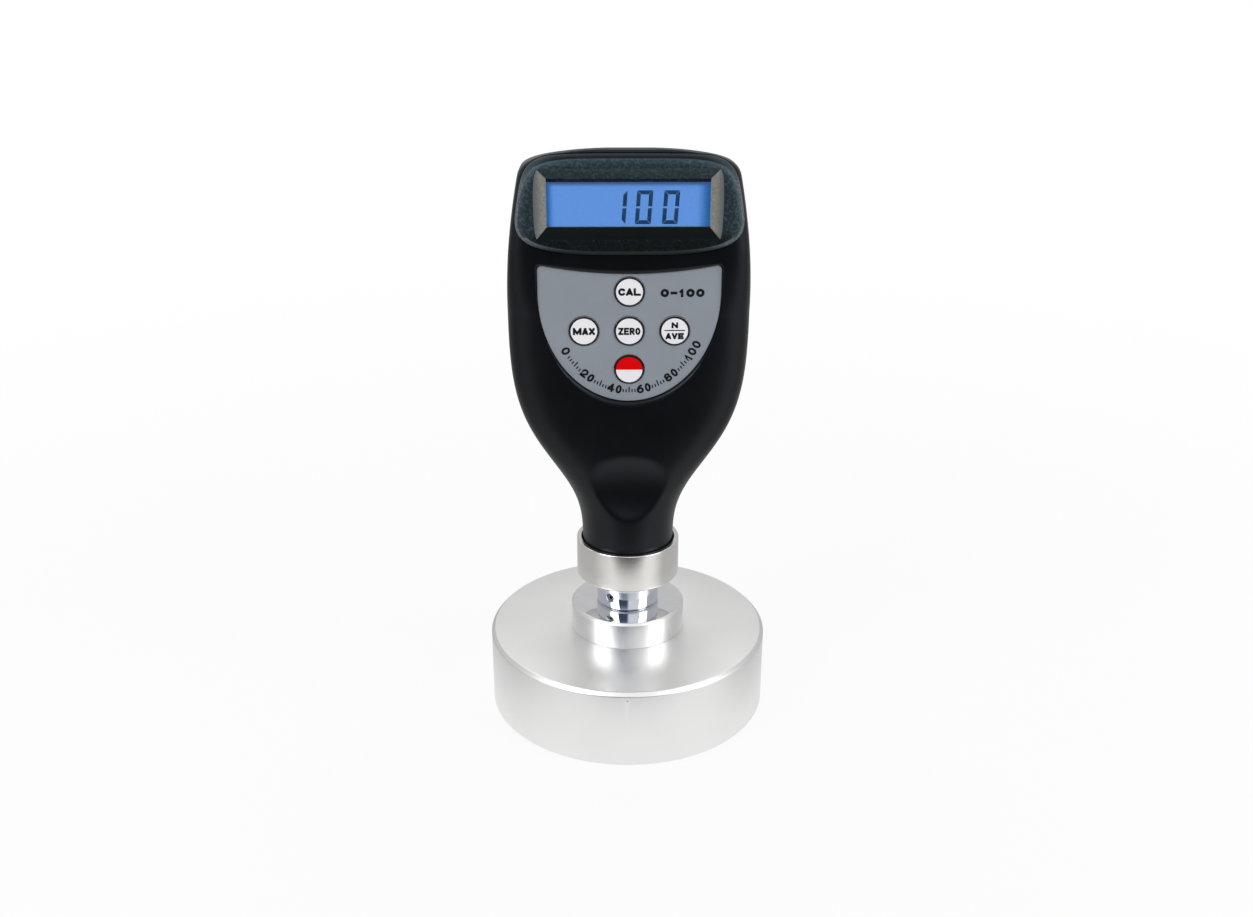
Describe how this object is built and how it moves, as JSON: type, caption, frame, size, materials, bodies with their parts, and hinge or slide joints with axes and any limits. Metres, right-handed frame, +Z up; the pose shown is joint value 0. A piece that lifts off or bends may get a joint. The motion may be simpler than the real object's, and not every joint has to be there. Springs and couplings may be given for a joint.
{
  "type": "sponge durometer",
  "caption": "Hand-held digital hardness gauge for sponge and foam: bottle-shaped black handle with display and keypad, on a wide round metal pressure foot with a flat spring-loaded indenter.",
  "frame": {"origin": "centre of the pressure foot's underside, on the surface the gauge stands on", "axes": "+Z up along the plunger, display facing -Y, +X to the right of a person reading it"},
  "size_m": [0.08, 0.08, 0.1631],
  "materials": {
    "foot_aluminium": "satin anodised",
    "polished_aluminium": "polished",
    "chrome": "mirror",
    "satin_nickel": "satin",
    "screw_steel": "blackened",
    "ground_steel": "ground",
    "brass": "turned",
    "coil_copper": "enamelled winding",
    "ferrite": "sintered",
    "case_black": "satin moulded",
    "bezel_grey": "fine textured",
    "clear_window": "clear",
    "lcd_blue": "backlit",
    "light_guide": "diffuse",
    "connector_rubber": "striped",
    "board_green": "solder mask",
    "inner_black": "moulded",
    "panel_grey": "printed film",
    "button_white": "moulded",
    "button_red": "moulded",
    "cell_jacket": "sleeved"
  },
  "bodies": {
    "gauge": {"pressure_foot": "foot_aluminium", "foot_hub": "polished_aluminium", "probe_sleeve": "chrome", "sleeve_set_screw": "screw_steel", "probe_collar": "satin_nickel", "lower_bush": "brass", "load_spring": "ground_steel", "spring_adjuster": "brass", "sensor_housing": "inner_black", "sensor_coil": "coil_copper", "front_case": "case_black", "rear_case": "case_black", "case_screws": "screw_steel", "display_bezel": "bezel_grey", "display_window": "clear_window", "lcd_panel": "lcd_blue", "backlight": "light_guide", "lcd_connectors": "connector_rubber", "main_board": "board_green", "board_screws": "screw_steel", "key_switches": "inner_black", "processor": "inner_black", "keypad_panel": "panel_grey", "cells": "cell_jacket", "cell_springs": "ground_steel", "cell_contacts": "ground_steel"},
    "plunger": {"indenter": "polished_aluminium", "plunger_rod": "ground_steel", "sensor_core": "ferrite"},
    "battery_door": {"battery_cover": "case_black"},
    "calibrate_key": {"calibrate_button": "button_white"},
    "max_key": {"max_button": "button_white"},
    "zero_key": {"zero_button": "button_white"},
    "average_key": {"average_button": "button_white"},
    "power_key": {"power_button": "button_red"}
  },
  "joints": [
    {"name": "indenter_slide", "type": "slide", "parent": "gauge", "child": "plunger", "axis": [0, 0, -1], "range_m": [0, 0.00254], "stiffness_N_per_m": 1525, "springref_m": 0.00289, "deforming": ["load_spring"]},
    {"name": "calibrate_press", "type": "slide", "parent": "gauge", "child": "calibrate_key", "axis": [0, 1, 0], "range_m": [0, 0.0005], "stiffness_N_per_m": 1000, "springref_m": -0.0005},
    {"name": "max_press", "type": "slide", "parent": "gauge", "child": "max_key", "axis": [0, 1, 0], "range_m": [0, 0.0005], "stiffness_N_per_m": 1000, "springref_m": -0.0005},
    {"name": "zero_press", "type": "slide", "parent": "gauge", "child": "zero_key", "axis": [0, 1, 0], "range_m": [0, 0.0005], "stiffness_N_per_m": 1000, "springref_m": -0.0005},
    {"name": "average_press", "type": "slide", "parent": "gauge", "child": "average_key", "axis": [0, 1, 0], "range_m": [0, 0.0005], "stiffness_N_per_m": 1000, "springref_m": -0.0005},
    {"name": "power_press", "type": "slide", "parent": "gauge", "child": "power_key", "axis": [0, 1, 0], "range_m": [0, 0.0005], "stiffness_N_per_m": 1000, "springref_m": -0.0005},
    {"name": "battery_door_hinge", "type": "hinge", "parent": "gauge", "child": "battery_door", "pos_m": [0, 0.01395, 0.09605], "axis": [-1, 0, 0], "range_deg": [0, 70]}
  ]
}
